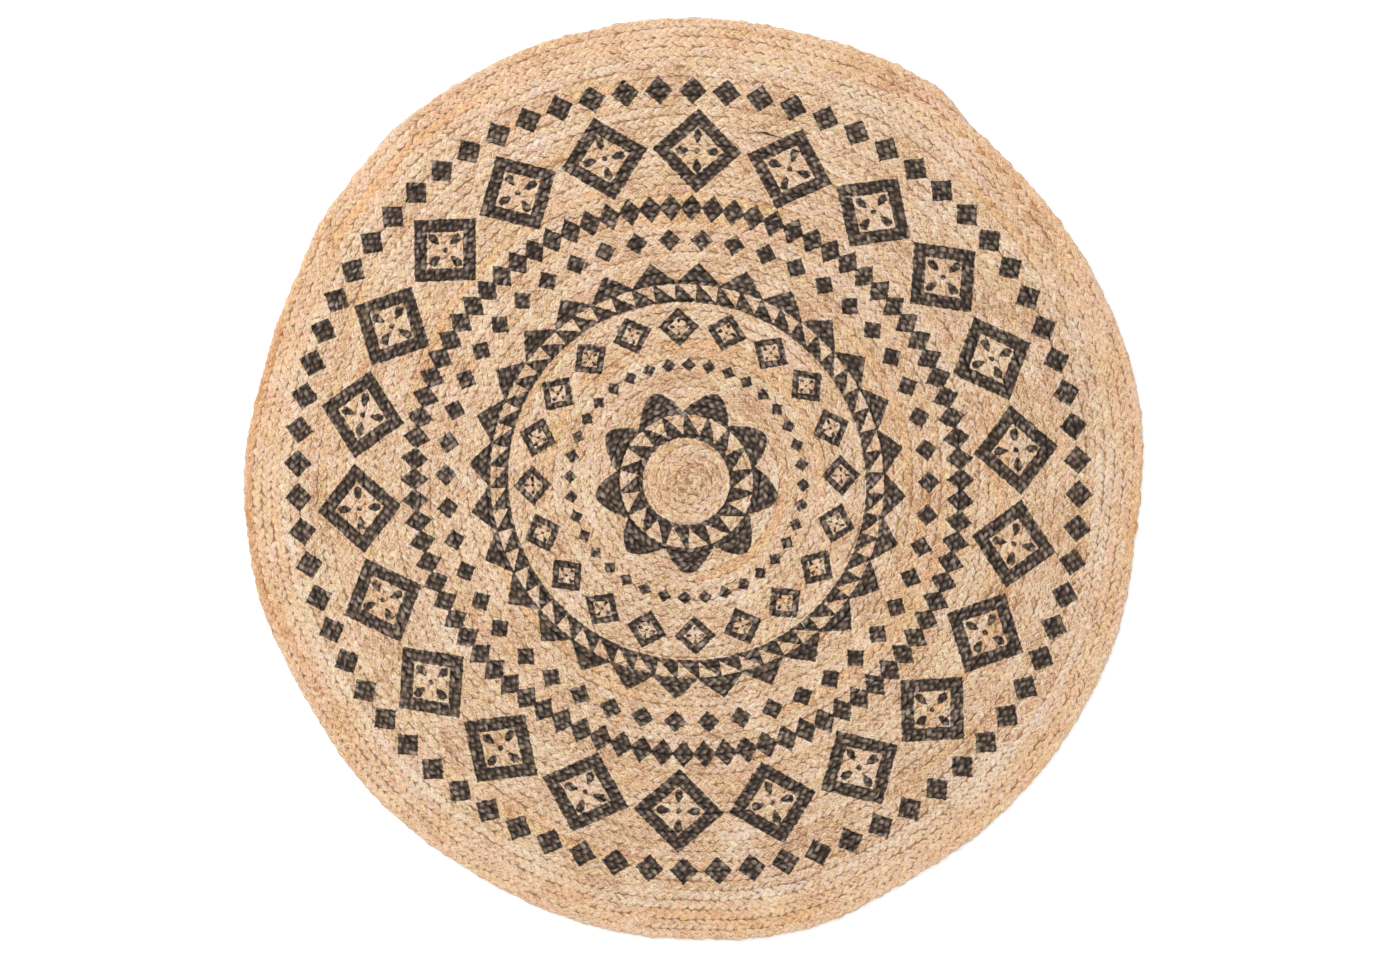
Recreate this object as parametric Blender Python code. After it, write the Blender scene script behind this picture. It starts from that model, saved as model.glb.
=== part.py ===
"""A round rug made of one flat jute braid, coiled clockwise from the middle and sewn edge to edge.

The solid is the coil itself: a ridge along each turn of the braid, a valley along each seam, a
rounded rim as uneven as a hand-coiled one, and a flat underside. Metres, +Z up. The origin is on
the floor under the middle of the rug's outline, and +Y is twelve o'clock.

A clock angle here is measured clockwise from twelve o'clock, seen from above.
"""

import math

import bmesh
import bpy
from mathutils import Vector

# The braid and its coil
BRAID_WIDTH = 0.0126        # flat three-strand plait, edge to edge
BRAID_HEIGHT = 0.008        # crest of a turn above the floor
SEAM_HEIGHT = 0.0058        # valley between two turns, where they are sewn together
COIL_TURNS = 46             # whole turns inside the last one

# The braid's outer end, pressed against the rim and thinned to nothing
TAIL_CLOCK = 40.0           # clock angle where the end runs out, degrees
TAIL_LENGTH = 0.085         # measured along the rim

# The last turn, from its seam to its free edge. Where the tail has run out, each line lies on
# a line of the turn inside it.
LAST_TURN = {
    # line: (braid widths across, height, line it runs out on)
    "seam": (0.0, SEAM_HEIGHT, "shoulder"),
    "crest": (0.5, BRAID_HEIGHT, "edge"),
    "shoulder": (0.84, 0.0067, "edge"),
    "edge": (1.0, 0.0037, "edge"),
    "foot": (0.82, 0.0, "foot"),
}

# How far the rim stands out (+) or in (-) from an even coil, in millimetres, at a clock angle.
RIM_SWELLS = (
    # clock, out_mm
    (0, 9.5),
    (13, 6.5),
    (29, 10),
    (43, 2),
    (80, 7),
    (97, -3),
    (112, 3),
    (152, 4),
    (166, 14),
    (184, 6),
    (215, -7),
    (243, -14),
    (256, -8),
    (270, -8.5),
    (284, -16),
    (294, -14.5),
    (309, -1),
    (323, 8),
)

# Flat sides of one turn: many near the rim, where a turn is long, and few near the middle
RIM_SIDES = 96
SPARSER_INSIDE = (
    # turn, keep_every
    (35, 2),
    (14, 4),
    (5, 8),
)

MERGE_DISTANCE = 1e-6
SMOOTH_UP_TO = 60           # degrees between two faces that are shaded as one surface

JUTE_COLOUR = (0.72, 0.48, 0.30, 1.0)
JUTE_ROUGHNESS = 0.9

ROWS_A_TURN = 2                             # a crest and a seam
LAST_SEAM_ROW = ROWS_A_TURN * COIL_TURNS    # row 0 is the middle of the coil
ROWS = LAST_SEAM_ROW + len(LAST_TURN) - 1
RIM_RADIUS = BRAID_WIDTH * (COIL_TURNS + 1)


def clear_scene():
    for old in list(bpy.data.objects):
        bpy.data.objects.remove(old, do_unlink=True)


def jute_material():
    jute = bpy.data.materials.new("jute")
    jute.use_nodes = True
    shader = jute.node_tree.nodes["Principled BSDF"]
    shader.inputs["Base Color"].default_value = JUTE_COLOUR
    shader.inputs["Roughness"].default_value = JUTE_ROUGHNESS
    shader.inputs["Metallic"].default_value = 0.0
    return jute


def blend(start, end, share):
    return start + (end - start) * share


def ease(share):
    share = min(max(share, 0.0), 1.0)
    return 0.5 - 0.5 * math.cos(math.pi * share)


def rim_swell(clock):
    """How far the rim stands out at a clock angle, in metres, eased from row to row."""
    clock %= 360
    first_clock, first_mm = RIM_SWELLS[0]
    full_circle = RIM_SWELLS + ((first_clock + 360, first_mm),)
    for (start, start_mm), (end, end_mm) in zip(full_circle, full_circle[1:]):
        if clock <= end:
            return blend(start_mm, end_mm, ease((clock - start) / (end - start))) / 1000


def braid_left(share_of_turn):
    """1 along the braid, falling to 0 over the tail at the end of the last turn."""
    return ease((1 - share_of_turn) * 2 * math.pi * RIM_RADIUS / TAIL_LENGTH)


def first_turn_point(row, share_of_turn):
    """The first crest and seam start in the middle, at no radius, and open into the coil."""
    turns_out_at_end = 1 + row / ROWS_A_TURN
    end_height = BRAID_HEIGHT if row == 1 else SEAM_HEIGHT
    radius = BRAID_WIDTH * turns_out_at_end * share_of_turn
    return radius, blend(BRAID_HEIGHT, end_height, share_of_turn)


def coiled_point(row, share_of_turn):
    on_crest = row % ROWS_A_TURN == 1
    radius = BRAID_WIDTH * (row / ROWS_A_TURN + share_of_turn)
    return radius, BRAID_HEIGHT if on_crest else SEAM_HEIGHT


def last_turn_point(line, share_of_turn):
    across, height, landing = LAST_TURN[line]
    landing_across, landing_height, _ = LAST_TURN[landing]
    radius = BRAID_WIDTH * (COIL_TURNS + share_of_turn + across)
    landing_radius = BRAID_WIDTH * (COIL_TURNS - 1 + share_of_turn + landing_across)
    left = braid_left(share_of_turn)
    return blend(landing_radius, radius, left), blend(landing_height, height, left)


def coil_point(row, share_of_turn):
    """Where a row of the coil runs when this share of its turn is wound."""
    if row >= LAST_SEAM_ROW:
        radius, height = last_turn_point(list(LAST_TURN)[row - LAST_SEAM_ROW], share_of_turn)
    elif row > ROWS_A_TURN:
        radius, height = coiled_point(row, share_of_turn)
    elif row > 0:
        radius, height = first_turn_point(row, share_of_turn)
    else:
        radius, height = 0.0, BRAID_HEIGHT
    clock = TAIL_CLOCK + 360 * share_of_turn
    radius += rim_swell(clock) * (radius / RIM_RADIUS) ** 2
    turned = math.radians(clock)
    return Vector((radius * math.sin(turned), radius * math.cos(turned), height))


def make_sparser_inside(strip):
    """Joins the flat sides two by two towards the middle, on the strip before it is coiled."""
    for turn, keep_every in SPARSER_INSIDE:
        last_row = ROWS_A_TURN * turn
        cuts = []
        for edge in strip.edges:
            first, second = (vert.co for vert in edge.verts)
            column = round(first.x)
            is_across = column == round(second.x)
            is_inside = round(max(first.y, second.y)) <= last_row
            if is_across and is_inside and column % keep_every:
                cuts.append(edge)
        bmesh.ops.dissolve_edges(strip, edges=cuts, use_verts=True)


def coiled_braid():
    """A flat strip, one column for each side of a turn, is wrapped round and sewn to itself."""
    coil = bmesh.new()
    bmesh.ops.create_grid(coil, x_segments=RIM_SIDES, y_segments=ROWS, size=0.5)
    for vert in coil.verts:
        vert.co.x = round((vert.co.x + 0.5) * RIM_SIDES)
        vert.co.y = round((vert.co.y + 0.5) * ROWS)
    make_sparser_inside(coil)
    for vert in coil.verts:
        vert.co = coil_point(round(vert.co.y), vert.co.x / RIM_SIDES)
    bmesh.ops.remove_doubles(coil, verts=coil.verts, dist=MERGE_DISTANCE)
    foot_line = [edge for edge in coil.edges if edge.is_boundary]
    bmesh.ops.contextual_create(coil, geom=foot_line)
    bmesh.ops.recalc_face_normals(coil, faces=coil.faces)
    centre_on_origin(coil)
    return finish(coil, "coiled_braid", jute_material())


def centre_on_origin(coil):
    """Puts the middle of the outline, not the middle of the coil, at the origin."""
    for axis in (0, 1):
        places = [vert.co[axis] for vert in coil.verts]
        middle = (min(places) + max(places)) / 2
        for vert in coil.verts:
            vert.co[axis] -= middle


def finish(shape, name, material):
    mesh = bpy.data.meshes.new(name)
    shape.to_mesh(mesh)
    shape.free()
    mesh.materials.append(material)
    mesh.shade_smooth()
    mesh.set_sharp_from_angle(angle=math.radians(SMOOTH_UP_TO))
    piece = bpy.data.objects.new(name, mesh)
    bpy.context.scene.collection.objects.link(piece)
    return piece


def main():
    clear_scene()
    coiled_braid()


main()
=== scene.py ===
# %% [markdown]
# # A round braided jute rug with a printed pattern
#
# The real rug starts as one long flat plait of three jute strands. The plait is coiled outwards
# from the middle and each turn is sewn to the turn inside it, and then a pattern of rings is
# printed on the top in dark ink. The imported model that this script loads has the plain shape of
# the coil: one rounded ridge for each turn. Everything made here has to stay in it.

# %% Load the imported model
import math

import bmesh
import bpy
import numpy as np
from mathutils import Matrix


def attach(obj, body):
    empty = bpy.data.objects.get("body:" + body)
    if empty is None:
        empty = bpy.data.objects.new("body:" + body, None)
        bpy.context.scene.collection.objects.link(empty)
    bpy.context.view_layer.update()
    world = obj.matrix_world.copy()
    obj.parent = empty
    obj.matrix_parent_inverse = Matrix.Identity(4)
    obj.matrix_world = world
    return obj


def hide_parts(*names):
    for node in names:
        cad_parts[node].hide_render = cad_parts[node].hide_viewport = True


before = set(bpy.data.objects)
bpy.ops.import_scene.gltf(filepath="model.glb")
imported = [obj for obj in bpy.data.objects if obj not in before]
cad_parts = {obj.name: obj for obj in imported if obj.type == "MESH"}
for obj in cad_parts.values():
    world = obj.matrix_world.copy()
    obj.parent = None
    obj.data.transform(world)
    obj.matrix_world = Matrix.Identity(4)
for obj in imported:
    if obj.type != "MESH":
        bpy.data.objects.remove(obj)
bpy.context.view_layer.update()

# %% [markdown]
# ## The line of the coil
#
# Everything on this rug follows one line: the middle of the plait, wound clockwise from the
# centre. A spiral could be drawn by hand as a curve, but a formula is shorter and exact: each
# turn is one braid width further out. A hand-coiled rug is never an even circle, so the coil
# also swells and shrinks a little with the clock angle, more towards the rim. A clock angle is
# measured clockwise from twelve o'clock, seen from above.

# %% Sizes of the braid, the same as in the solid
BRAID_WIDTH = 0.0126        # flat three-strand plait, edge to edge
COIL_TURNS = 46             # whole turns inside the last one
TAIL_CLOCK = 40.0           # where the braid's end runs out, degrees
TAIL_LENGTH = 0.085         # the end thins out over this much of the rim
RIM_RADIUS = BRAID_WIDTH * (COIL_TURNS + 1)

# How far the rim stands out (+) or in (-) from an even coil
RIM_SWELLS = (
    # clock, out_mm
    (0, 9.5),
    (13, 6.5),
    (29, 10),
    (43, 2),
    (80, 7),
    (97, -3),
    (112, 3),
    (152, 4),
    (166, 14),
    (184, 6),
    (215, -7),
    (243, -14),
    (256, -8),
    (270, -8.5),
    (284, -16),
    (294, -14.5),
    (309, -1),
    (323, 8),
    (360, 9.5),
)


# %% Small helpers for shares
def blend(start, end, share):
    return start + (end - start) * share


def ease(share):
    """0 to 1 with a soft start and a soft stop."""
    return 0.5 - 0.5 * np.cos(math.pi * np.clip(share, 0, 1))


# %% How far the rim stands out at a clock angle
def rim_swell(clock):
    clocks, outs = np.array(RIM_SWELLS, float).T
    row = np.clip(np.searchsorted(clocks, clock % 360, side="right") - 1, 0, len(clocks) - 2)
    share = (clock % 360 - clocks[row]) / (clocks[row + 1] - clocks[row])
    return blend(outs[row], outs[row + 1], ease(share)) / 1000


# %% Where the braid is after a number of turns
def braid_left(turns):
    """1 along the braid, falling to 0 over the tail at the end of the last turn."""
    return ease((COIL_TURNS + 1 - turns) * 2 * math.pi * RIM_RADIUS / TAIL_LENGTH)


def on_coil(turns, across):
    """x and y of a point `across` metres outside the middle of the braid."""
    whole_braid = BRAID_WIDTH * (turns + 0.5)
    rim_inside = BRAID_WIDTH * turns
    left = braid_left(turns)
    radius = blend(rim_inside, whole_braid, left) + across * left
    clock = TAIL_CLOCK + 360 * turns
    radius = radius + rim_swell(clock) * (radius / RIM_RADIUS) ** 2
    turned = np.radians(clock)
    return np.stack((radius * np.sin(turned), radius * np.cos(turned)), axis=-1)


# %% The middle of the outline, which is the model's origin
last_turn = np.linspace(COIL_TURNS, COIL_TURNS + 1, 3601)
outline = on_coil(last_turn, BRAID_WIDTH / 2)
outline_middle = (outline.min(axis=0) + outline.max(axis=0)) / 2
outline -= outline_middle
print("the coil's own middle, in mm:", (-1000 * outline_middle).round(1))
print("outline, in mm:", (1000 * (outline.max(axis=0) - outline.min(axis=0))).round(1))

# %% [markdown]
# ## The length of the plait
#
# Turns are easy to count, but a plait is even in its length and not in its turns: one crossing
# takes the same 11 mm of braid in the middle as at the rim. So the spiral is measured once, in
# many short steps, into a table that gives the turn for any length along the braid.

# %% Measure along the spiral
START_TURNS = -0.44         # the braid begins curled in on itself, almost at the middle
fine_turns = np.linspace(START_TURNS, COIL_TURNS + 1, 240_001)
fine_line = on_coil(fine_turns, 0.0)
fine_steps = np.linalg.norm(np.diff(fine_line, axis=0), axis=1)
fine_length = np.concatenate(([0.0], np.cumsum(fine_steps)))
BRAID_LENGTH = fine_length[-1]
print("length of the plait, in metres:", round(BRAID_LENGTH, 1))


# %% Slow random drift along the braid
def drift(seed, spacing, size):
    """A function of the length that wanders by about `size`, with a new value every `spacing`."""
    values = np.random.default_rng(seed).normal(0, size, int(BRAID_LENGTH / spacing) + 3)
    return lambda length: np.interp(length / spacing, np.arange(len(values)), values)


# %% [markdown]
# ## The three strands
#
# In a flat three-strand plait each strand swings from edge to edge once in every period, and
# goes over, under, over, under as it does. A sine gives the swing, and a sine at twice the pace
# gives the over and under. The three strands do the same, a third of a period apart. On the top
# this leaves two rows of plump slanting lobes that lie like the grains of an ear of wheat. The
# last turn has no neighbour on its outer side and is pulled taut there, so that its outer lobes
# stand out less and more evenly than the rest.

# %% Sizes of the plait
PLAIT_PERIOD = 0.033        # one strand's way across and back
STRANDS = 3
SWING = 0.0043              # from the braid's middle line to either side
SQUARER = 0.03              # a strand crosses quickly and then runs along the side for a while
MIDDLE_HEIGHT = 0.00405
OVER_UNDER = 0.0014         # up and down from the middle height
STRAND_HALF_WIDTH = 0.0036
STRAND_HALF_THICKNESS = 0.0025
FREE_SIDE_DRAWN_IN = 0.32   # the last turn's outer lobes stand out less, share of the swing
FREE_SIDE_EVENER = 0.7      # and stray less, share of the side drift
FREE_SIDE_EASE = 0.05       # both come in over this much of a turn
THINNEST = 0.16             # an end is never thinner, share of full thickness
STEPS_A_PERIOD = 8
LOWEST = 0.00006            # nothing goes under the floor

# Corners of a strand's section, in half widths and half thicknesses
STRAND_SECTION = (
    # sideways, upwards
    (1.0, 0.0),
    (0.62, 0.76),
    (0.0, 1.0),
    (-0.62, 0.76),
    (-1.0, 0.0),
    (0.0, -1.0),
)

# %% How far the plait has got, in radians, for any length
slow_drift = drift(seed=11, spacing=0.12, size=0.35)
quick_drift = drift(seed=12, spacing=0.021, size=0.28)
even_phase = 2 * math.pi * fine_length / PLAIT_PERIOD
fine_phase = even_phase + slow_drift(fine_length) + quick_drift(fine_length)
PHASE_STEP = 2 * math.pi / STEPS_A_PERIOD
plait_steps = math.floor((fine_phase[-1] - fine_phase[0]) / PHASE_STEP) - 1
print("steps along each strand:", plait_steps)

LAST_TURN_ALONG = float(np.interp(COIL_TURNS, fine_turns, fine_phase)) / math.pi    # half periods
print("half periods inside the last turn:", round(LAST_TURN_ALONG))

# %% Unevenness of hand-pulled jute
width_drift = [drift(21 + strand, 0.015, 0.19) for strand in range(STRANDS)]
height_drift = [drift(31 + strand, 0.013, 0.0004) for strand in range(STRANDS)]
side_drift = [drift(41 + strand, 0.011, 0.0009) for strand in range(STRANDS)]
braid_drift = drift(51, 0.09, 0.0003)
START_TAPER = 0.005


# %% The middle line of one strand
def strand_line(strand, steps):
    """Places along a strand, with its share of full thickness and its own phase there."""
    lag = 2 * math.pi * strand / STRANDS
    first_step = math.ceil((fine_phase[0] + lag) / PHASE_STEP)
    phase = (first_step + steps) * PHASE_STEP
    length = np.interp(phase - lag, fine_phase, fine_length)
    turns = np.interp(length, fine_length, fine_turns)
    fullness = braid_left(turns) * ease(length / START_TAPER)
    swing = SWING * (np.sin(phase) + SQUARER * np.sin(3 * phase))
    free_side = ease((turns - COIL_TURNS) / FREE_SIDE_EASE) * (swing > 0)
    swing = swing * (1 - FREE_SIDE_DRAWN_IN * free_side)
    strayed = side_drift[strand](length) * (1 - FREE_SIDE_EVENER * free_side)
    across = swing * fullness + strayed + braid_drift(length)
    over_under = OVER_UNDER * np.sin(2 * phase) * fullness
    height = MIDDLE_HEIGHT + over_under + height_drift[strand](length)
    flat = on_coil(turns, across) - outline_middle
    return np.column_stack((flat, height)), np.clip(fullness, THINNEST, 1), phase, length


# %% A strand's surface round its middle line
def strand_surface(strand, steps):
    """One ring of section corners for each step, and the first corner again to close the ring."""
    places, fullness, phase, length = strand_line(strand, steps)
    ahead = np.gradient(places, axis=0)
    ahead /= np.linalg.norm(ahead, axis=1, keepdims=True)
    side = np.cross(ahead, (0.0, 0.0, 1.0))
    side /= np.linalg.norm(side, axis=1, keepdims=True)
    over = np.cross(side, ahead)
    plump = 1 + width_drift[strand](length)
    half_width = (STRAND_HALF_WIDTH * fullness * plump)[:, None]
    half_thickness = (STRAND_HALF_THICKNESS * fullness * (2 - plump) ** 0.3)[:, None]
    rings = []
    for sideways, upwards in STRAND_SECTION + STRAND_SECTION[:1]:
        rings.append(places + side * half_width * sideways + over * half_thickness * upwards)
    surface = np.stack(rings, axis=1)
    surface[..., 2] = np.maximum(surface[..., 2], LOWEST)
    return surface, phase


# %% [markdown]
# ## From a flat grid to a strand
#
# A strand could be a curve with a bevel, but then its section would be the same everywhere and
# it would carry no map of its own. Here each strand starts as a flat grid, one column for each
# step and one row for each side of the section. The grid is rolled round the strand's line, its
# first and last rows are merged, and a last ring at each end is drawn together to close it. The
# grid's own columns and rows also give the maps: "strand" counts half periods along and strands
# across, for the colour and the grain, and "OFBake" lays the same surface out in rows side by
# side, so that nothing is stretched or hidden when the colours are baked to a picture.

# %% How the baking map shares its space
ROWS_A_STRAND = 13
SIDE_HEIGHTS = (0.19, 0.19, 0.19, 0.19, 0.10, 0.10)    # upper sides get the most, and 4% is a gap
side_starts = np.concatenate(([0.0], np.cumsum(SIDE_HEIGHTS)))


# %% Lay the faces of a strand out in rows
def baking_map(column, row, segment, strand, segments):
    """u and v of every face corner: `segment` is its face's place along the strand."""
    in_a_row = math.ceil(segments / ROWS_A_STRAND)
    line = segment // in_a_row
    u = (column - line * in_a_row) / in_a_row
    v = (strand * ROWS_A_STRAND + line + side_starts[row]) / (STRANDS * ROWS_A_STRAND)
    return np.column_stack((u * 0.998 + 0.001, v))


# %% Flat grids to roll up
SIDES = len(STRAND_SECTION)


def flat_grids(count, columns, rows):
    """`count` flat grids side by side in one mesh, each at the height of its number."""
    grids = bmesh.new()
    for number in range(count):
        first_new = len(grids.verts)
        bmesh.ops.create_grid(grids, x_segments=columns, y_segments=rows, size=0.5)
        grids.verts.ensure_lookup_table()
        for vert in grids.verts[first_new:]:
            vert.co.z = number
    return grids


def mesh_from(shape, name):
    mesh = bpy.data.meshes.new(name)
    shape.to_mesh(mesh)
    shape.free()
    return mesh


def read_grids(mesh, columns, rows):
    """The column, the row and the number of the grid of every point."""
    places = np.empty(len(mesh.vertices) * 3, np.float32)
    mesh.vertices.foreach_get("co", places)
    x, y, number = places.reshape(-1, 3).astype(float).T
    column = np.rint((x + 0.5) * columns).astype(int)
    row = np.rint((y + 0.5) * rows).astype(int)
    return column, row, np.rint(number).astype(int)


def move_points(mesh, places):
    mesh.vertices.foreach_set("co", places.astype(np.float32).ravel())


# %% Close the rolled grids
MERGE_DISTANCE = 1e-6


def close_strands(mesh):
    """Sews each rolled grid's first row to its last, and gives the piece."""
    shape = bmesh.new()
    shape.from_mesh(mesh)
    bmesh.ops.remove_doubles(shape, verts=shape.verts, dist=MERGE_DISTANCE)
    bmesh.ops.recalc_face_normals(shape, faces=shape.faces)
    for face in shape.faces:
        face.smooth = len(face.verts) == 4
    shape.to_mesh(mesh)
    shape.free()
    return place_piece(mesh)


def place_piece(mesh):
    piece = bpy.data.objects.new(mesh.name, mesh)
    bpy.context.scene.collection.objects.link(piece)
    return piece


def count_triangles(*pieces):
    return sum(len(piece.data.loops) - 2 * len(piece.data.polygons) for piece in pieces)


# %% A strand's surface with its two ends drawn together
def closed_surface(strand, steps):
    surface, phase = strand_surface(strand, steps)
    ends = []
    for ring in (surface[:1], surface[-1:]):
        middle = ring[:, :-1].mean(axis=1, keepdims=True)
        ends.append(np.broadcast_to(middle, ring.shape))
    surface = np.concatenate((ends[0], surface, ends[1]))
    return surface, np.concatenate((phase[:1], phase, phase[-1:]))


# %% Make one length of the plait
def plait_length(name, start, stop):
    """A length of all three strands, from step `start` to step `stop`."""
    segments = stop - start + 2
    mesh = mesh_from(flat_grids(STRANDS, segments, SIDES), name)
    column, row, strand = read_grids(mesh, segments, SIDES)
    rolled = np.empty((len(column), 3))
    phases = np.empty(len(column))
    for number in range(STRANDS):
        surface, phase = closed_surface(number, np.arange(start, stop + 1))
        mine = strand == number
        rolled[mine] = surface[column[mine], row[mine]]
        phases[mine] = phase[column[mine]]
    move_points(mesh, rolled)
    add_maps(mesh, column, row, strand, phases, segments)
    return close_strands(mesh)


def add_maps(mesh, column, row, strand, phases, segments):
    """The strand map and the baking map, worked out for every corner of every face."""
    corners = np.empty(len(mesh.loops), int)
    mesh.loops.foreach_get("vertex_index", corners)
    face_columns = column[corners.reshape(-1, 4)]
    segment = np.repeat(face_columns.min(axis=1), 4)
    column, row, strand = column[corners], row[corners], strand[corners]
    maps = {
        "strand": np.column_stack((phases[corners] / math.pi, strand + row / SIDES)),
        "OFBake": baking_map(column, row, segment, strand, segments),
    }
    for label, values in maps.items():
        layer = mesh.uv_layers.new(name=label)
        layer.uv.foreach_set("vector", values.astype(np.float32).ravel())


# %% The whole plait, in ten lengths
LENGTHS = 10
cuts = np.linspace(0, plait_steps, LENGTHS + 1).astype(int)
plait = []
for number, (start, stop) in enumerate(zip(cuts, cuts[1:]), 1):
    plait.append(plait_length(f"plait_length_{number:02d}", int(start), int(stop)))
print("triangles in the plait:", count_triangles(*plait))

# %% [markdown]
# ## The ground of the rug
#
# Between the lobes the eye meets the deep parts of the strands and the sewing thread, all in
# shade. Modelling them would add many faces that nobody sees, so a flat closed disc stands in
# for them, low inside the plait. It starts as a circle that is extruded up, and each of its
# corners is moved to the middle of the last turn at its own clock angle. Over the braid's tail
# it eases in to the turn inside, so that it never shows beyond the plait.

# %% A disc that follows the uneven rim
GROUND_LOW = 0.0024
GROUND_HIGH = 0.0049
GROUND_CORNERS = 360
GROUND_EDGE = 0.0016        # outside the middle line of the last turn


def rug_ground():
    disc = bmesh.new()
    bmesh.ops.create_circle(disc, cap_ends=True, segments=GROUND_CORNERS, radius=1.0)
    raised = bmesh.ops.extrude_face_region(disc, geom=disc.faces[:])
    for vert in raised["geom"]:
        if isinstance(vert, bmesh.types.BMVert):
            vert.co.z = 1.0
    for vert in disc.verts:
        clock = math.degrees(math.atan2(vert.co.x, vert.co.y))
        turns = COIL_TURNS + ((clock - TAIL_CLOCK) % 360) / 360
        inner_turn = on_coil(turns - 1, GROUND_EDGE)
        corner = blend(inner_turn, on_coil(turns, GROUND_EDGE), braid_left(turns))
        vert.co.x, vert.co.y = corner - outline_middle
        vert.co.z = blend(GROUND_LOW, GROUND_HIGH, vert.co.z)
    bmesh.ops.recalc_face_normals(disc, faces=disc.faces)
    return place_piece(mesh_from(disc, "rug_ground"))


ground = rug_ground()
print("corners of the ground disc:", len(ground.data.vertices))

# %% [markdown]
# ## Loose fibres
#
# Jute always sheds some hairs: they lift off the lobes in low arcs, and a fine fringe stands out
# from the rim. Hair particles would vanish in an exported mesh, so each hair is a thin
# three-sided tube. All of them start as small flat grids in one mesh, rolled like the strands.

# %% Sizes of the hairs
HAIRS = 2200
RIM_HAIRS = 900
HAIR_STEPS = 4
HAIR_SIDES = 3
HAIR_LENGTH = (0.006, 0.020)
HAIR_RADIUS = (0.00007, 0.00014)
HAIR_BEND = 0.28            # sideways at the tip, share of the length
RIM_HAIR_LENGTH = 0.6       # share of the others' length
RIM_HAIR_RISE = 0.4         # share of the others' rise
TOP_ROOT_HEIGHT = 0.0070
RIM_ROOT_HEIGHTS = (0.003, 0.0065)
HAIR_RISE = (0.0006, 0.0017)
SHARE_OF_ARC = 0.85         # a hair ends before its arc is back at the root's height


# %% Grow the hairs
def hair_lines():
    """Places along every hair, one row of places for each hair."""
    chance = np.random.default_rng(61)
    on_rim = np.arange(HAIRS) < RIM_HAIRS
    inner = COIL_TURNS * np.sqrt(chance.uniform(0.0004, 1, HAIRS))
    turns = np.where(on_rim, COIL_TURNS + chance.uniform(0, 0.97, HAIRS), inner)
    across = np.where(on_rim, 0.005, chance.uniform(-0.005, 0.005, HAIRS))
    root = on_coil(turns, across) - outline_middle
    outward = root / np.linalg.norm(root, axis=1, keepdims=True)
    forward = np.column_stack((outward[:, 1], -outward[:, 0]))
    lean = chance.normal(0, 0.9, HAIRS)
    swing = np.where(on_rim, chance.uniform(0.1, 0.7, HAIRS), np.sin(lean))
    heading = forward * np.cos(lean)[:, None] + outward * swing[:, None]
    heading /= np.linalg.norm(heading, axis=1, keepdims=True)
    sideways = np.column_stack((heading[:, 1], -heading[:, 0]))
    bend = sideways * chance.normal(0, HAIR_BEND, (HAIRS, 1))
    long = chance.uniform(*HAIR_LENGTH, HAIRS) * np.where(on_rim, RIM_HAIR_LENGTH, 1)
    share = np.linspace(0, 1, HAIR_STEPS + 1)[None, :, None]
    run = long[:, None, None] * share
    flat = root[:, None, :] + run * heading[:, None, :] + run * share * bend[:, None, :]
    root_height = np.where(on_rim, chance.uniform(*RIM_ROOT_HEIGHTS, HAIRS), TOP_ROOT_HEIGHT)
    arc = np.sin(math.pi * share[..., 0] * SHARE_OF_ARC)
    rise = chance.uniform(*HAIR_RISE, HAIRS)[:, None] * arc
    height = root_height[:, None] + rise * np.where(on_rim, RIM_HAIR_RISE, 1)[:, None]
    return np.concatenate((flat, height[..., None]), axis=-1)


# %% Roll a thin tube round each line
def thin_tubes(name, lines, thick, sides):
    """Tubes in one piece: `thick` holds the radius at each place of each line."""
    steps = lines.shape[1] - 1
    mesh = mesh_from(flat_grids(len(lines), steps, sides), name)
    column, row, tube = read_grids(mesh, steps, sides)
    around = 2 * math.pi * row[:, None] / sides
    ahead = np.gradient(lines, axis=1)
    side = np.cross(ahead, (0.0, 0.0, 1.0))
    side /= np.linalg.norm(side, axis=-1, keepdims=True)
    outwards = np.cos(around) * side[tube, column] + np.sin(around) * (0.0, 0.0, 1.0)
    move_points(mesh, lines[tube, column] + thick[tube, column, None] * outwards)
    return close_strands(mesh)


# %% The hairs as one piece
full_radius = np.random.default_rng(71).uniform(*HAIR_RADIUS, (HAIRS, 1))
hair_taper = np.sin(math.pi * np.arange(HAIR_STEPS + 1) / HAIR_STEPS) ** 0.5
loose_fibres = thin_tubes("loose_fibres", hair_lines(), full_radius * hair_taper, HAIR_SIDES)
loose_fibres.data.shade_smooth()
print("triangles in the loose fibres:", count_triangles(loose_fibres))

# %% [markdown]
# ## Two stray threads
#
# Two threads lie loose on the top: a dark brown one with a knot near twelve o'clock, and a pale
# one, curled at its end, that crosses a printed triangle at about a quarter to five. Each is a
# chain of places in a table, wide where the knot is, and becomes a tube like the hairs.

# %% Where the threads lie
DARK_THREAD = (
    # x, y, radius, in millimetres
    (58, 456.6, 0.2),
    (72, 455.6, 0.35),
    (86, 455.8, 0.7),
    (92, 456.6, 0.9),
    (96, 455.2, 2.2),
    (100, 453.8, 1.0),
    (107, 451.6, 0.8),
    (118, 449.2, 0.4),
)
PALE_THREAD = (
    (131.6, -181.8, 0.4),
    (129.2, -181.6, 0.6),
    (128.4, -183.6, 0.6),
    (130.2, -185.2, 0.6),
    (133.6, -185.0, 0.6),
    (138.2, -186.6, 0.6),
    (142.0, -189.4, 0.7),
    (147.4, -196.6, 0.4),
)
THREAD_HEIGHT = 0.0080
THREAD_WAVE = 0.0006        # up and down from that height
THREAD_STEPS = 28
THREAD_SIDES = 6


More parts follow.
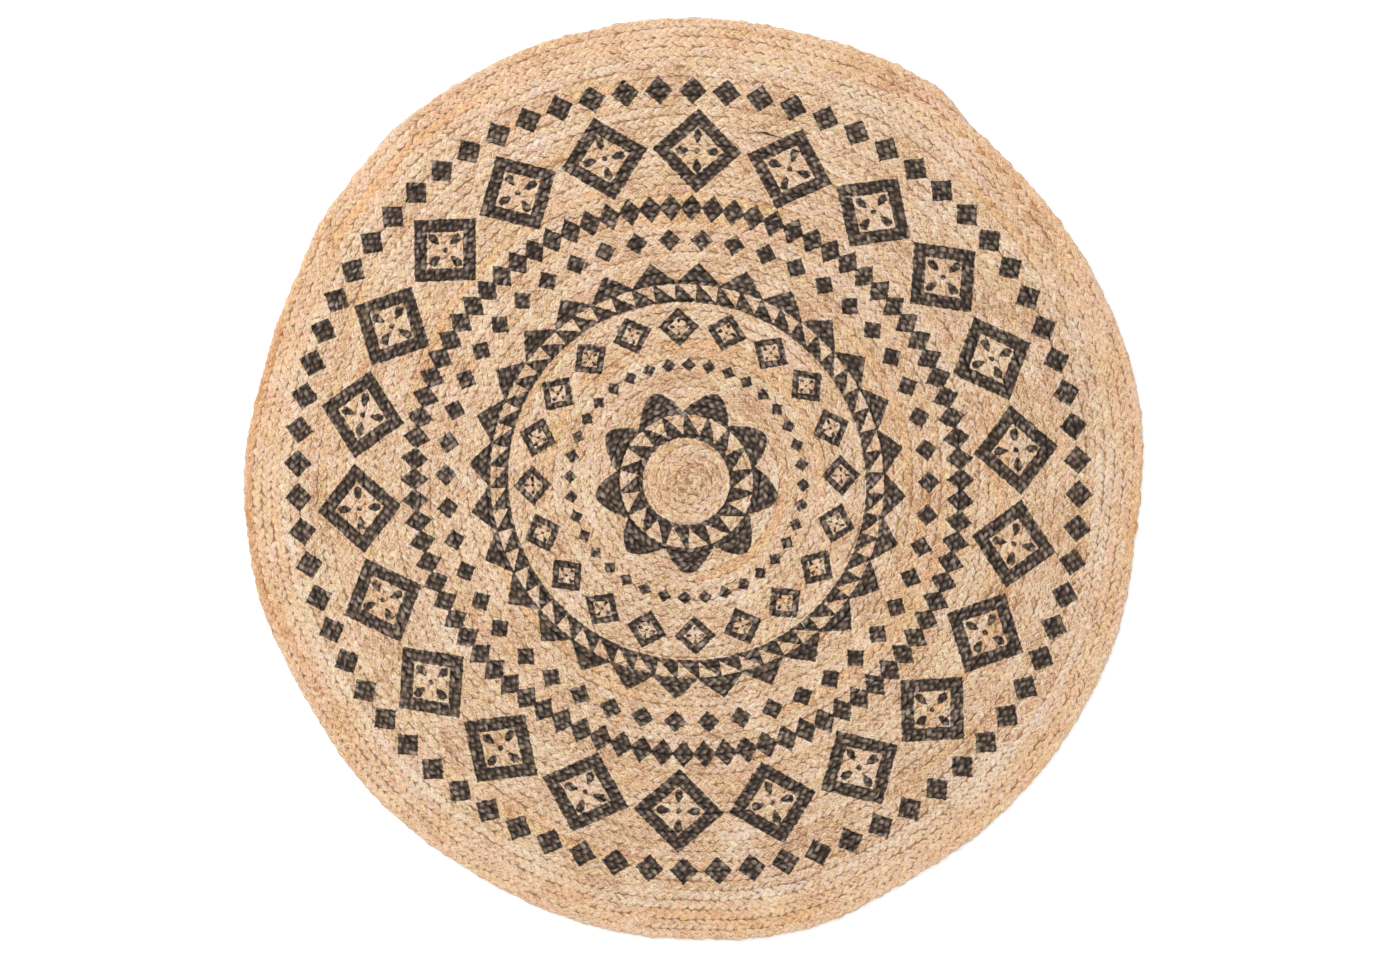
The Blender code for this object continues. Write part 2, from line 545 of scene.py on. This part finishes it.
# %% Roll a thread round its chain
def stray_thread(name, chain):
    x, y, radius = np.array(chain, float).T / 1000
    corners = np.arange(len(chain))
    share = np.linspace(0, len(chain) - 1, THREAD_STEPS + 1)
    past_corner = share - np.floor(share)
    rounded = np.floor(share) + blend(past_corner, ease(past_corner), 0.5)
    height = THREAD_HEIGHT - THREAD_WAVE * np.cos(share * 2.2)
    flat = [np.interp(rounded, corners, values) for values in (x, y)]
    line = np.column_stack((*flat, height))
    taper = np.sin(math.pi * share / share[-1]).clip(0) ** 0.25
    thick = np.interp(share, corners, radius) * taper
    return thin_tubes(name, line[None], thick[None], THREAD_SIDES)


threads = [stray_thread("dark_thread", DARK_THREAD), stray_thread("pale_thread", PALE_THREAD)]
print("triangles in all:", count_triangles(*plait, ground, loose_fibres, *threads))

# %% [markdown]
# ## Node helpers
#
# The print and the jute are worked out by shader nodes from each point's own place, so they stay
# sharp at any distance and need no picture. Long chains of nodes are tedious to wire by hand, so
# a node's output is wrapped here in something that can be added and multiplied like a number:
# each such step makes one Math node, and the lines below read like the sums they are.


# %% One node at a time
class Output:
    """A node's output. A sum with it makes a Math node and gives that node's output."""

    def __init__(self, tree, socket):
        self.tree = tree
        self.socket = socket

    def __add__(self, other):
        return work_out("ADD", self, other)

    def __sub__(self, other):
        return work_out("SUBTRACT", self, other)

    def __rsub__(self, other):
        return work_out("SUBTRACT", other, self)

    def __mul__(self, other):
        return work_out("MULTIPLY", self, other)

    def __truediv__(self, other):
        return work_out("DIVIDE", self, other)

    def __abs__(self):
        return work_out("ABSOLUTE", self)


def feed(socket, value):
    """Links a node's output to a socket, or sets the socket to a plain value."""
    if isinstance(value, Output):
        value.tree.links.new(value.socket, socket)
    else:
        socket.default_value = value


def add_node(kind, inputs, *outputs, tree=None, **settings):
    """One node in the tree of its inputs. Gives the outputs asked for, or else the first."""
    if tree is None:
        tree = next(value.tree for value in inputs.values() if isinstance(value, Output))
    node = tree.nodes.new(kind)
    for label, value in settings.items():
        setattr(node, label, value)
    for label, value in inputs.items():
        feed(node.inputs[label], value)
    found = [Output(tree, node.outputs[label]) for label in outputs or (0,)]
    return found[0] if len(found) == 1 else found


# %% The nodes used most
def work_out(operation, *values, clamp=False):
    values = dict(enumerate(values))
    return add_node("ShaderNodeMath", values, operation=operation, use_clamp=clamp)


def larger(first, *others):
    for other in others:
        first = work_out("MAXIMUM", first, other)
    return first


def smaller(first, *others):
    for other in others:
        first = work_out("MINIMUM", first, other)
    return first


def root_of_squares(a, b):
    return work_out("SQRT", a * a + b * b)


def between(value, low, high):
    """0 at `low`, 1 at `high`, and a soft step from one to the other."""
    ends = {"Value": value, "From Min": low, "From Max": high}
    return add_node("ShaderNodeMapRange", ends, "Result", interpolation_type="SMOOTHSTEP")


def noise(vector, scale, detail=2.0):
    inputs = {"Vector": vector, "Scale": scale, "Detail": detail}
    return add_node("ShaderNodeTexNoise", inputs, "Fac")


def parts_of(vector, *axes):
    return add_node("ShaderNodeSeparateXYZ", {0: vector}, *axes)


def joined(x, y, z=0.0):
    return add_node("ShaderNodeCombineXYZ", {0: x, 1: y, 2: z})


# %% Node groups
def new_group(name, kind, inputs, outputs):
    """The group, its inputs, which are all of one kind, and the sockets of its outputs."""
    group = bpy.data.node_groups.new(name, "ShaderNodeTree")
    for label in inputs:
        group.interface.new_socket(label, in_out="INPUT", socket_type="NodeSocket" + kind)
    for label in outputs:
        group.interface.new_socket(label, in_out="OUTPUT", socket_type="NodeSocketFloat")
    given = group.nodes.new("NodeGroupInput").outputs
    result = group.nodes.new("NodeGroupOutput").inputs
    return group, [Output(group, given[label]) for label in inputs], result


def use_group(group, *outputs, **inputs):
    return add_node("ShaderNodeGroup", inputs, *outputs, node_tree=group)


# %% [markdown]
# ## The print: where a point is in a ring
#
# Every printed ring repeats one small motif round a circle. So a point's place is turned into
# polar terms first, its distance from the print's middle and its clock angle, and then into the
# motif's own terms: how far it is along the ring from the nearest motif's middle, and how far
# outside the ring's circle. The screen was laid on by hand, and the coil gives as it is pressed,
# so the print is a little off the rug's middle and a little longer one way than the other.

# %% Where the print lies
PRINT_MIDDLE = (-0.00985, -0.0039)          # of its innermost ring
PRINT_MIDDLE_SLOPE = (0.0058, 0.0022)       # how far the middle moves for each metre of radius
PRINT_STRETCH = 0.0075                      # longer along half past four, share of its size
PRINT_STRETCH_SLOPE = 0.0125                # more stretch for each metre of radius
PRINT_LEAN = 0.27                           # degrees ahead at three o'clock, behind at nine


# %% Polar place of a point in the print
def print_polar(place):
    """Clock angle in degrees and radius in metres."""
    reach = add_node("ShaderNodeVectorMath", {0: place}, "Value", operation="LENGTH")
    x, y = parts_of(place, 0, 1)
    x = x - (reach * PRINT_MIDDLE_SLOPE[0] + PRINT_MIDDLE[0])
    y = y - (reach * PRINT_MIDDLE_SLOPE[1] + PRINT_MIDDLE[1])
    stretch = reach * PRINT_STRETCH_SLOPE + PRINT_STRETCH
    x, y = y * stretch + x, x * stretch + y
    turned = work_out("ARCTAN2", x, y)
    clock = work_out("DEGREES", turned) + work_out("SINE", turned) * PRINT_LEAN
    return clock, root_of_squares(x, y)


# %% Place in a ring, as a node group
def make_ring_place():
    """`Behind` is how many degrees of a motif's room lie behind its own clock angle."""
    group, given, result = new_group(
        "Place in a ring",
        "Float",
        ("Clock", "Radius", "First", "Behind", "Pitch", "Ring"),
        ("Along", "Out", "Arc", "Rise"),
    )
    clock, radius, first, behind, pitch, ring = given
    counted = work_out("FLOORED_MODULO", clock - first + behind, 360.0)
    angle = work_out("RADIANS", work_out("FLOORED_MODULO", counted, pitch) - behind)
    feed(result["Along"], radius * work_out("SINE", angle))
    feed(result["Out"], radius * work_out("COSINE", angle) - ring)
    feed(result["Arc"], radius * angle)
    feed(result["Rise"], radius - ring)
    return group


ring_place = make_ring_place()

# %% [markdown]
# ## The print: its motifs
#
# Each motif is a sum that gives how deep a point lies inside its outline, in metres, and less
# than nothing outside. Depths combine simply: the larger of two depths is the two shapes
# together, and the smaller is where they overlap. Only at the very end is the depth turned
# into ink.


# %% Straight-sided motifs
def diamond(along, out, half_along, half_out):
    """A diamond that points outwards."""
    slope = half_along / half_out
    return (half_along - (abs(along) + abs(out) * slope)) * (1 / math.hypot(1, slope))


def triangle(along, out, back, ahead, tall):
    """A triangle on the ring's circle: `back` and `ahead` are how far its base reaches."""
    depth = out
    for reach, sign in ((back, -1.0), (ahead, 1.0)):
        slope = reach / tall
        inside = along * -sign + (out * -slope + reach)
        depth = smaller(depth, inside * (1 / math.hypot(1, slope)))
    return depth


# %% Round motifs
PETAL_ROUNDNESS = 0.58      # 1 is a straight-sided tip, 0.5 is a round one
PETAL_SLANT = 0.7           # the way in from a slanting side is shorter than the way across
SEED_FATTER = 0.35          # at its outer end, share of its width


def petal(along, out, half_base, tall, lean):
    """A rounded arch on the ring's circle, whose tip leans clockwise by `lean`."""
    left = larger(out * (-1 / tall) + 1.0, 0.0)
    half = work_out("POWER", left, PETAL_ROUNDNESS) * half_base
    inside = half - abs(out * (-lean / tall) + along)
    return smaller(out, tall - out, inside * PETAL_SLANT)


def circle_line(radius, at, half_width):
    return half_width - abs(radius - at)


def dot(along, out, size):
    return size - root_of_squares(along, out)


def four_seeds(along, out, at, half_long, half_wide):
    """Four drops in a cross, fatter at their outer ends. Folding the place makes one drop four."""
    share = (larger(abs(along), abs(out)) - at) / half_long
    wide = share * (SEED_FATTER * half_wide) + half_wide
    over = smaller(abs(along), abs(out)) / wide
    return (1.0 - root_of_squares(share, over)) * half_wide


# %% A straight bar between two places
def bar(place, start, end, half_wide):
    """Depth inside a bar from `start` to `end`, each an x and a y."""
    long = math.dist(start, end)
    ahead_x, ahead_y = ((b - a) / long for a, b in zip(start, end))
    x, y = parts_of(place, 0, 1)
    x = x - blend(start[0], end[0], 0.5)
    y = y - blend(start[1], end[1], 0.5)
    along = x * ahead_x + y * ahead_y
    out = x * ahead_y - y * ahead_x
    return smaller(long / 2 - abs(along), half_wide - abs(out))


# %% A diamond frame with four seeds and a dot inside
def framed_diamond(along, out, whole, light, seeds, dot_size):
    """`whole` and `light` are half sizes along and out, and the frame lies between them."""
    frame_only = smaller(diamond(along, out, *whole), diamond(along, out, *light) * -1.0)
    return larger(frame_only, four_seeds(along, out, *seeds), dot(along, out, dot_size))


# %% [markdown]
# ## The print: its rings
#
# These tables are the whole design, ring by ring from the middle out: how many motifs, the
# clock angle of the first, the radius of the ring's circle and the motif's sizes, in
# millimetres. The pattern is a plain traditional one: teeth, petals, diamonds and triangles.

# %% Rings of diamonds
DIAMOND_RINGS = (
    # pitch_degrees, first_clock, ring, half_along, half_out
    (10.0, 1.55, 153.8, 8.4, 8.2),
    (7.801, 231.5, 318.4, 13.8, 13.6),
    (360 / 82, 1.56, 360.5, 14.5, 17.2),
    (5.0, 1.46, 515.2, 17.8, 17.5),
)

# %% Rings of framed diamonds
FRAMED_RINGS = (
    # pitch_degrees, first_clock, ring, whole, light, (seeds_at, half_long, half_wide), dot_size
    (18.0, 15.57, 203.7, (26.2, 24.5), (16.0, 14.9), (8.5, 2.2, 1.2), 1.0),
    (360 / 22, 2.36, 435.9, (58.2, 54.8), (36.1, 33.3), (19.5, 7.5, 4.3), 2.8),
)

# %% Rings of triangles and petals, each on its circle
TRIANGLE_RINGS = (
    # pitch_degrees, tip_clock, circle, back, ahead, tall
    (20.0, -0.6, 61.3, 2.4, 18.7, 30.2),
    (360 / 56, 3.58, 238.4, 1.0, 25.7, 22.8),
    (360 / 28, 3.7, 260.5, 29.0, 31.6, 27.5),
)
PETAL_RINGS = (
    # pitch_degrees, base_clock, circle, half_base, tall, lean
    (40.0, 17.2, 89.5, 33.0, 32.0, 5.6),
)

# %% Plain circles
CIRCLES = (
    # radius, half_width
    (60.1, 2.0),
    (89.6, 1.0),
    (238.0, 1.1),
    (360.5, 1.1),
)


# %% All the ink, as one depth
def in_metres(sizes):
    """Millimetres, or nested tuples of them, turned into metres."""
    return [in_metres(size) if isinstance(size, tuple) else size / 1000 for size in sizes]


def print_depth(clock, radius):
    depths = [circle_line(radius, *in_metres(row)) for row in CIRCLES]
    for motif, rings, outputs in (
        (diamond, DIAMOND_RINGS, ("Along", "Out")),
        (framed_diamond, FRAMED_RINGS, ("Along", "Out")),
        (triangle, TRIANGLE_RINGS, ("Arc", "Rise")),
        (petal, PETAL_RINGS, ("Arc", "Rise")),
    ):
        for pitch, first, ring, *sizes in rings:
            behind = 0.5
            if motif is triangle:       # a leaning one has more of its room on one side
                behind = sizes[0] / (sizes[0] + sizes[1])
            inputs = {"Clock": clock, "Radius": radius, "First": first, "Pitch": pitch}
            inputs |= {"Ring": ring / 1000, "Behind": behind * pitch}
            place = use_group(ring_place, *outputs, **inputs)
            depths.append(motif(*place, *in_metres(sizes)))
    return larger(*depths)


# %% [markdown]
# ## The print: ink on rough jute
#
# Ink pressed on a plait doesn't keep a ruled edge: it creeps a little past the screen's edge,
# runs along one lobe and misses the next. So a fine noise is added to the depth before it
# becomes ink. One faint smudge lies near eleven o'clock, between two rings. The group is used by
# the strands, the ground and the hairs, so that the print crosses all three without a break.

# %% The print as a node group
INK_SPREAD = 0.0008         # wet ink creeps this far past the screen's edge
INK_EDGE = 0.0006           # the edge fades over this width
INK_RAGGED = 0.0011         # how far the noise moves an edge, either way
SMUDGE = {"start": (-0.1396, 0.2866), "end": (-0.1436, 0.2728), "half_wide": 0.0026}
SMUDGE_EDGE = 0.0012
SMUDGE_SHARE = 0.75         # of full ink


def make_print():
    group, (place,), result = new_group("Printed rings", "Vector", ("Place",), ("Ink",))
    spread = print_depth(*print_polar(place)) + INK_SPREAD
    ragged = (noise(place, 210.0) - 0.5) * (4 * INK_RAGGED) + spread
    ink = work_out("MULTIPLY_ADD", ragged, 1 / INK_EDGE, 0.5, clamp=True)
    smudge = between(bar(place, **SMUDGE), 0.0, SMUDGE_EDGE) * SMUDGE_SHARE
    feed(result["Ink"], larger(ink, smudge))
    return group


printed_rings = make_print()
print("nodes in the print:", len(printed_rings.nodes))


# %% [markdown]
# ## Jute
#
# Raw jute is the colour of straw, but no two strands match: some lobes are pinkish, some yellow,
# some nearly white, and the colour also wanders over longer stretches of the braid. Where one
# strand dives under another it is in shade, and that shade is painted into its colour, darker and
# browner.

# %% Colours
def screen_colour(red, green, blue):
    """Linear red, green, blue and alpha from screen values of 0 to 255."""
    linear = []
    for value in (red, green, blue):
        share = value / 255
        linear.append(share / 12.92 if share <= 0.04045 else ((share + 0.055) / 1.055) ** 2.4)
    return (*linear, 1.0)


def ramp(value, stops):
    """A colour ramp: stops are (position, screen colour)."""
    found = add_node("ShaderNodeValToRGB", {"Fac": value}, "Color")
    band = found.socket.node.color_ramp
    while len(band.elements) < len(stops):
        band.elements.new(0.5)
    for element, (position, colour) in zip(band.elements, stops):
        element.position = position
        element.color = screen_colour(*colour)
    return found


def mix(share, start, end, blend_type="MIX"):
    inputs = {0: share, 6: start, 7: end}
    return add_node("ShaderNodeMix", inputs, 2, data_type="RGBA", blend_type=blend_type)


# %% Tones and tints of the lobes, from dark to pale and from pink to yellow
LOBE_TONES = (
    (0.00, (184, 137, 98)),
    (0.20, (221, 180, 143)),
    (0.40, (240, 207, 173)),
    (0.62, (250, 223, 192)),
    (0.82, (255, 235, 212)),
    (1.00, (255, 245, 232)),
)
HUE_TINTS = (
    (0.25, (254, 239, 241)),
    (0.42, (255, 247, 244)),
    (0.58, (255, 250, 236)),
    (0.75, (252, 249, 225)),
)
INK_TONES = (
    (0.00, (50, 37, 27)),
    (0.45, (88, 74, 64)),
    (0.75, (143, 128, 117)),
    (1.00, (194, 180, 169)),
)
GOLD_TINT = screen_colour(255, 240, 214)
RIM_TINT = screen_colour(255, 241, 228)
# painted light: the pale colour of the last turn's low sides, which nothing shades
PAINTED_RIM_LIGHT = screen_colour(236, 222, 204)
STAIN = screen_colour(212, 146, 86)
# painted shade: the colours of the creases and deep parts, where shade falls
CREASE_SHADE = screen_colour(136, 90, 55)
ORANGE_CREASE_SHADE = screen_colour(214, 150, 92)
# painted shade: the nearly black of the ink in creases and deep down
INK_CREASE_SHADE = screen_colour(34, 22, 14)
SLIT = screen_colour(168, 120, 82)
SPECK = screen_colour(112, 78, 52)


# %% A material to start from
def new_material(name, roughness):
    """A rough material, and its shader's inputs."""
    material = bpy.data.materials.new(name)
    material.use_nodes = True
    inputs = material.node_tree.nodes["Principled BSDF"].inputs
    feed(inputs["Roughness"], roughness)
    feed(inputs["Metallic"], 0.0)
    feed(inputs["Specular IOR Level"], 0.3)
    return material, inputs


def own_place(material):
    return add_node("ShaderNodeTexCoord", {}, "Object", tree=material.node_tree)


# %% Strands: where a point is
STRAND_GIRTH = 0.018        # once round a strand

jute_strand, strand_shader = new_material("jute_strand", 0.9)
place = own_place(jute_strand)
height = parts_of(place, 2)
strand_map = add_node("ShaderNodeUVMap", {}, "UV", tree=jute_strand.node_tree, uv_map="strand")
along, across = parts_of(strand_map, 0, 1)      # half periods, and strands
which_strand = work_out("FLOOR", across)
lobe = {"Vector": joined(work_out("FLOOR", along), which_strand)}
luck, own_tint = add_node("ShaderNodeTexWhiteNoise", lobe, "Value", "Color", noise_dimensions="2D")
run = along * (PLAIT_PERIOD / 2)
girth = across * STRAND_GIRTH

# %% [markdown]
# ## Fibres and slits
#
# Jute's fibres lie along the strand, so the noise for them is stretched that way: its grains
# are much longer than they are wide. Where the noise is far from its middle the strand has
# split a little and a dark slit shows.


# %% Strands: noise that lies along the strand
def on_strand(long, wide, detail, shift=0.0):
    """Noise whose grains are `long` by `wide` metres; `shift` tells one noise from another."""
    return noise(joined(run / long, girth / wide, shift), 1.0, detail)


ALL_ROUND = 9.0             # a grain this wide is the same all round the strand
fibres = between(on_strand(0.011, 0.0009, 3.0), 0.3, 0.7)
slits = between(on_strand(0.008, 0.0012, 2.0, shift=5.0), 0.60, 0.68)

# %% [markdown]
# ## Tone and tint
#
# How pale a point is adds up from many small causes, each with its own share: the lobe's own
# luck, longer stretches of the strand, patches, shreds, wide areas of the rug and a fine grain.
# The braid is a little darker at its start and paler towards the rim, and the last turn is
# browner for a stretch at nine o'clock. The tint wanders from pink to yellow on its own, some
# stretches are golden, and one strand near the rim is stained for a few lobes.

# %% Strands: tone
BROWN_START = (5326.0, 5331.0)      # half periods, at nine o'clock on the last turn
BROWN_END = (5356.0, 5350.0)
OUTER_TURNS = 4300.0        # from this half period on the braid is paler and warmer
TONE_START = -2.67          # the causes below add about 3.2 on average

brown = between(along, *BROWN_START) * between(along, *BROWN_END)
causes = (
    # noise or luck, share
    (luck, 0.30),
    (on_strand(0.35, ALL_ROUND, 3.0), 0.70),
    (on_strand(0.030, 0.012, 2.0, shift=9.0), 0.55),
    (fibres, 0.45),
    (on_strand(0.009, 0.0016, 1.0, shift=17.0), 1.5),
    (noise(place, 16.0, 3.0), 0.80),
    (between(along, 0.0, 60.0), 0.12),
    (between(along, OUTER_TURNS, OUTER_TURNS + 150.0), 0.22),
    (noise(place, 450.0), 1.9),
    (brown, -0.22),
)
tone = causes[0][0] * causes[0][1]
for cause, share in causes[1:]:
    tone = tone + cause * share
jute = ramp(tone + TONE_START, LOBE_TONES)

# %% Strands: tint
wander = on_strand(0.07, 0.03, 2.0, shift=13.0) * 1.1 - 0.05
tint = ramp((own_tint - 0.5) * 0.12 + wander, HUE_TINTS)
gold = between(on_strand(0.5, ALL_ROUND, 3.0, shift=31.0), 0.50, 0.66)
jute = mix(1.0, jute, tint, "MULTIPLY")
jute = mix(gold * 0.8, jute, GOLD_TINT, "MULTIPLY")
jute = mix(between(along, OUTER_TURNS, OUTER_TURNS + 700.0), jute, RIM_TINT, "MULTIPLY")

# %% Strands: stains
STAINED_STRAND = 2.0        # this strand is stained for a few lobes near the rim
STAINED_FROM = 4971.0       # half periods
STAINED_TO = 4985.0

stain = work_out("COMPARE", which_strand, STAINED_STRAND, 0.5)
stain = stain * between(along, STAINED_FROM, STAINED_FROM + 1)
stain = stain * between(along, STAINED_TO, STAINED_TO - 1)
outer_side = work_out("SINE", along * math.pi)
stain = stain * between(outer_side, -0.1, 0.3) * (luck * 0.5 + 0.4)
browned = brown * between(on_strand(0.012, ALL_ROUND, 2.0, shift=47.0), 0.38, 0.62)
jute = mix(browned * 0.45 + stain, jute, STAIN)

# %% [markdown]
# ## Creases, with painted shade
#
# Each strand gets painted shade along its two sides, where it meets its neighbours, and deep down.
# The painted shade comes and goes with a noise, and is orange in some stretches. Nothing shades
# the outer side of the rim, so the painted shade deep down is mostly left out on the last turn and
# its low sides are painted pale instead, as painted light; the crests of the underside get no
# painted shade either: shade only gathers inside the rug. Here and there a strand shows a fine
# dark line between its two plies, drawn in the painted shade colour.

# %% Strands: creases
TOP_CORNER = 2.0                    # of the strand's section
BOTTOM_CORNER = 5.0
IN_SHADE = (0.0062, 0.0045)         # height where the shade starts, and where it is full
INSIDE_RUG = (0.0012, 0.0028)       # no shade below the first height, all of it above

round_strand = work_out("FRACT", across) * SIDES
off_top = abs(round_strand - TOP_CORNER)
off_bottom = abs(round_strand - BOTTOM_CORNER)
side = 2.0 - smaller(off_top, off_bottom * 2.0)
# painted shade along the strand's sides, where it meets its neighbours
crease_shade_line = between(side, 0.86, 0.20)
inside_rug = between(height, *INSIDE_RUG)
on_rim = between(along, LAST_TURN_ALONG - 1, LAST_TURN_ALONG + 1)
# painted shade deep down, with less of it on the last turn
deep_shade = between(height, *IN_SHADE) * inside_rug * (on_rim * -0.75 + 1.0)
uneven = between(noise(place, 130.0), 0.35, 0.65)
crease_shade = larger(crease_shade_line, deep_shade) * uneven
orange = larger(between(on_strand(0.16, ALL_ROUND, 2.0, shift=21.0), 0.52, 0.66), brown)
crease_shade_colour = mix(orange, CREASE_SHADE, ORANGE_CREASE_SHADE)
# painted light: the last turn's low sides are painted pale, as nothing shades them
rim_side_light = on_rim * between(height, 0.0062, 0.0035) * inside_rug
sway = on_strand(0.009, ALL_ROUND, 2.0, shift=41.0) * 3.0 + 0.5
has_ply = between(on_strand(0.006, ALL_ROUND, 2.0, shift=43.0), 0.50, 0.60)
ply_line = between(abs(round_strand - sway), 0.42, 0.10) * has_ply
speck = between(noise(place, 300.0, 1.0), 0.68, 0.76)
for share, colour in (
    (crease_shade * 0.95, crease_shade_colour),
    (rim_side_light * 0.7, PAINTED_RIM_LIGHT),
    (slits * 0.7, SLIT),
    (ply_line * 0.55, crease_shade_colour),
    (speck * 0.7, SPECK),
):
    jute = mix(share, jute, colour)

# %% [markdown]
# ## Inked strands
#
# Ink isn't one flat colour: it is thinner on some lobes and fibres, the crests get a painted
# highlight, and the creases and deep parts get painted shade that is nearly black. It lies on the
# upper side only.

# %% Strands: ink
INKED_ABOVE = (0.0030, 0.0042)      # no ink below the first height, all of it above the second
CREST_HIGHLIGHT = (0.0058, 0.0079)            # painted highlight: paler ink from the first height to the second

crest_highlight = between(height, *CREST_HIGHLIGHT)
# painted highlight: the ink is paler towards the crests
ink_tone = luck * 0.32 + fibres * 0.37 + crest_highlight * 0.58 - 0.20
ink_colour = mix(1.0, ramp(ink_tone, INK_TONES), tint, "MULTIPLY")
# painted shade: nearly black ink along the strands' sides and deep down; the slits darken it too
ink_shade_and_slits = larger(between(side, 1.05, 0.35), deep_shade, slits)
ink_colour = mix(ink_shade_and_slits * 0.9, ink_colour, INK_CREASE_SHADE)
thin_ink = between(noise(place, 70.0), 0.56, 0.72)
printed = use_group(printed_rings, Place=place) * between(height, *INKED_ABOVE)
printed = printed * (thin_ink * -0.14 + 1.0)

# %% Strands: the finished material
feed(strand_shader["Base Color"], mix(printed, jute, ink_colour))
feed(strand_shader["Roughness"], fibres * 0.2 + 0.75)
feed(strand_shader["Sheen Weight"], 0.1)
feed(strand_shader["Sheen Roughness"], 0.5)
relief = {"Strength": 0.8, "Distance": 0.0007, "Height": fibres - slits * 0.8}
feed(strand_shader["Normal"], add_node("ShaderNodeBump", relief))
for piece in plait:
    piece.data.materials.append(jute_strand)


# %% The shaded ground, the hairs and the threads
def shaded_ground_material():
    material, shader = new_material("jute_ground_painted_shade", 0.95)
    place = own_place(material)
    fibres = noise(place, 900.0, 3.0)
    # painted shade: the ground is darker, browner jute, as all of it lies in shade between the
    # lobes, and under the print it takes the ink's painted shade colour
    jute = ramp(fibres, ((0.3, (150, 110, 76)), (0.7, (196, 152, 112))))
    inked = between(parts_of(place, 2), *INKED_ABOVE)
    ink = use_group(printed_rings, Place=place) * inked
    feed(shader["Base Color"], mix(ink, jute, INK_CREASE_SHADE))
    feed(shader["Roughness"], fibres * 0.1 + 0.88)
    return material


def fibre_material(name, scale, detail, stops, ink_share=0.0):
    """Jute whose colour changes a little from place to place, printed or not."""
    material, shader = new_material(name, 0.8)
    place = own_place(material)
    change = noise(place, scale, detail)
    jute = ramp(change, stops)
    if ink_share:
        ink = use_group(printed_rings, Place=place)
        jute = mix(ink * ink_share, jute, screen_colour(80, 68, 60))
    feed(shader["Base Color"], jute)
    feed(shader["Roughness"], change * 0.2 + 0.7)
    return material


HAIR_TONES = ((0.35, (196, 156, 116)), (0.65, (240, 214, 184)))
DARK_TONES = ((0.35, (66, 42, 30)), (0.65, (104, 68, 46)))
PALE_TONES = ((0.35, (236, 226, 210)), (0.65, (255, 250, 240)))

jute_fibre = fibre_material("jute_fibre", 60.0, 1.0, HAIR_TONES, ink_share=0.85)
dark_fibre = fibre_material("dark_fibre", 700.0, 2.0, DARK_TONES)
pale_fibre = fibre_material("pale_fibre", 700.0, 2.0, PALE_TONES)
made_of = (shaded_ground_material(), jute_fibre, dark_fibre, pale_fibre)
for piece, material in zip((ground, loose_fibres, *threads), made_of):
    piece.data.materials.append(material)

# %% [markdown]
# ## What each piece stands for
#
# The plait, its ground and its hairs are one rug, which lies flat and doesn't move, so all of
# them ride on the one body and take the place of the plain coil.

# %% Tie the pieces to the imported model
for piece in (*plait, ground, loose_fibres, *threads):
    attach(piece, "root")
    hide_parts("coiled_braid")

# %% [markdown]
# ## Floor, light and camera
#
# The rug is seen from straight above on plain white. A wide floor a hair below it is nearly
# white and glows a little, which leaves hardly any shadow round the rim. The world light is soft
# and even, and one large lamp from the upper left gives the lobes a little shape.

# %% Floor
FLOOR_SIZE = 24.0
FLOOR_DROP = 0.0002
FLOOR_GLOW = 0.2            # lifts the rug's shadow to nearly white


def floor_piece():
    shape = bmesh.new()
    bmesh.ops.create_grid(shape, x_segments=1, y_segments=1, size=FLOOR_SIZE / 2)
    for vert in shape.verts:
        vert.co.z = -FLOOR_DROP
    floor = place_piece(mesh_from(shape, "floor"))
    material, shader = new_material("pale_floor", 0.9)
    feed(shader["Base Color"], (0.97, 0.97, 0.97, 1.0))
    feed(shader["Emission Color"], (1.0, 1.0, 1.0, 1.0))
    feed(shader["Emission Strength"], FLOOR_GLOW)
    floor.data.materials.append(material)
    return floor


floor_piece()

# %% Light
WORLD_STRENGTH = 0.85
LAMP_POWER = 60.0

world = bpy.data.worlds.new("soft_daylight")
world.use_nodes = True
background = world.node_tree.nodes["Background"].inputs
feed(background["Color"], (1.0, 1.0, 1.0, 1.0))
feed(background["Strength"], WORLD_STRENGTH)
bpy.context.scene.world = world

lamp = bpy.data.lights.new("softbox", "AREA")
lamp.shape = "SQUARE"
lamp.size = 2.0
lamp.energy = LAMP_POWER
softbox = bpy.data.objects.new("softbox", lamp)
softbox.location = (-1.9, 1.9, 2.9)
softbox.rotation_euler = (-softbox.location).to_track_quat("-Z", "Y").to_euler()
bpy.context.scene.collection.objects.link(softbox)

# %% Camera, straight above
PHOTO_WIDTH = 1400
PHOTO_HEIGHT = 960
METRES_A_PIXEL = 0.0013214
RUG_MIDDLE_PIXEL = (693.5, 478.5)
CAMERA_HEIGHT = 4.0
SENSOR_WIDTH = 36.0

camera_data = bpy.data.cameras.new("camera")
camera_data.sensor_width = SENSOR_WIDTH
camera_data.lens = SENSOR_WIDTH * CAMERA_HEIGHT / (PHOTO_WIDTH * METRES_A_PIXEL)
camera = bpy.data.objects.new("camera", camera_data)
camera.location = (
    (PHOTO_WIDTH / 2 - RUG_MIDDLE_PIXEL[0]) * METRES_A_PIXEL,
    (RUG_MIDDLE_PIXEL[1] - PHOTO_HEIGHT / 2) * METRES_A_PIXEL,
    CAMERA_HEIGHT,
)
bpy.context.scene.collection.objects.link(camera)
bpy.context.scene.camera = camera
bpy.context.scene.view_settings.view_transform = "Standard"
print("lens, in mm:", round(camera_data.lens, 1))
